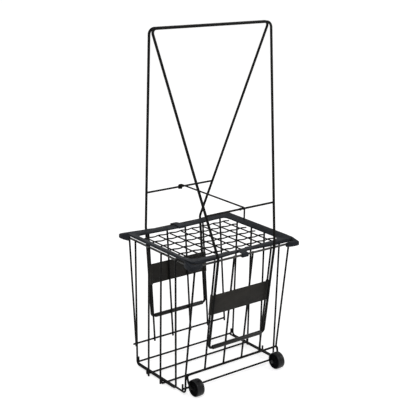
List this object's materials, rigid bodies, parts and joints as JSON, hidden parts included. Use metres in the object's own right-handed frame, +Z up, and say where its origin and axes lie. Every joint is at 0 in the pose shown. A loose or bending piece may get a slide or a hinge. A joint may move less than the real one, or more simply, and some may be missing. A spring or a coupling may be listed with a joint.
{
  "type": "tennis ball hopper",
  "caption": "Wire basket that picks balls up through its bottom bars, with a hinged wire lid, sliding carrying handles held shut by a wire link, and wheels.",
  "frame": {"origin": "on the ground below the middle of the hopper's bounding box", "axes": "+Z up, X along the long side of the basket, -Y towards the two wheels"},
  "size_m": [0.3384, 0.29, 0.8254],
  "materials": {
    "coated_wire": "semi-gloss black coating",
    "dark_wire": "thin black coating",
    "frame_plastic": "charcoal, fine matt grain",
    "plate_sheet": "satin black",
    "sleeve": "satin black",
    "wheel_plastic": "black moulded"
  },
  "bodies": {
    "basket": {"rim_wire": "coated_wire", "back_wall_wire_1": "coated_wire", "back_wall_wire_2": "coated_wire", "back_wall_wire_3": "coated_wire", "back_wall_wire_4": "coated_wire", "back_wall_wire_5": "coated_wire", "back_wall_wire_6": "coated_wire", "front_wall_wire_1": "coated_wire", "front_wall_wire_2": "coated_wire", "front_wall_wire_3": "coated_wire", "front_wall_wire_4": "coated_wire", "front_corner_wire_left": "coated_wire", "front_corner_wire_right": "coated_wire", "side_hoop_left": "coated_wire", "side_hoop_right": "coated_wire", "side_wire_left_1": "coated_wire", "side_wire_left_2": "coated_wire", "side_wire_right_1": "coated_wire", "side_wire_right_2": "coated_wire", "back_lower_wire": "coated_wire", "front_lower_wire": "coated_wire", "bottom_bar_1": "coated_wire", "bottom_bar_2": "coated_wire", "bottom_bar_3": "coated_wire", "bottom_bar_4": "coated_wire", "rim_frame_left": "frame_plastic", "rim_frame_right": "frame_plastic", "frame_clip_front": "frame_plastic", "frame_clip_back": "frame_plastic", "axle_cap_left": "wheel_plastic", "axle_cap_right": "wheel_plastic", "side_plate_back": "plate_sheet", "side_plate_front": "plate_sheet"},
    "wheel_left": {"wheel_left": "wheel_plastic"},
    "wheel_right": {"wheel_right": "wheel_plastic"},
    "lid": {"lid_grid": "coated_wire"},
    "handle_back": {"handle_back": "coated_wire", "handle_crossbar_back": "dark_wire"},
    "handle_front": {"handle_front": "coated_wire", "handle_crossbar_front": "dark_wire"},
    "sleeve_back": {"handle_sleeve_back": "sleeve"},
    "sleeve_front": {"handle_sleeve_front": "sleeve"},
    "link": {"lock_link": "dark_wire"}
  },
  "joints": [
    {"name": "wheel_left_spin", "type": "hinge", "parent": "basket", "child": "wheel_left", "pos_m": [-0.1225, -0.122, 0.0215], "axis": [1, 0, 0], "continuous": true},
    {"name": "wheel_right_spin", "type": "hinge", "parent": "basket", "child": "wheel_right", "pos_m": [0.1225, -0.122, 0.0215], "axis": [1, 0, 0], "continuous": true},
    {"name": "lid_hinge", "type": "hinge", "parent": "basket", "child": "lid", "pos_m": [0, -0.1025, 0.3217], "axis": [1, 0, 0], "range_deg": [0, 32]},
    {"name": "handle_back_slide", "type": "slide", "parent": "basket", "child": "handle_back", "axis": [0, 0.1174, 0.9931], "range_m": [0, 0.075]},
    {"name": "lock_link_hinge", "type": "hinge", "parent": "handle_back", "child": "link", "pos_m": [0, 0.11461, 0.4245], "axis": [-1, 0, 0], "range_deg": [0, 110]},
    {"name": "handle_front_slide", "type": "slide", "parent": "basket", "child": "handle_front", "axis": [0, -0.1174, 0.9931], "range_m": [0, 0.075]},
    {"name": "sleeve_back_spin", "type": "hinge", "parent": "handle_back", "child": "sleeve_back", "pos_m": [0, 0.11451, 0.1055], "axis": [1, 0, 0], "continuous": true},
    {"name": "sleeve_front_spin", "type": "hinge", "parent": "handle_front", "child": "sleeve_front", "pos_m": [0, -0.11451, 0.1055], "axis": [1, 0, 0], "continuous": true}
  ],
  "couplings": [
    {"joint": "handle_front_slide", "follows": "lock_link_hinge", "m_per_rad": 0.03906}
  ]
}
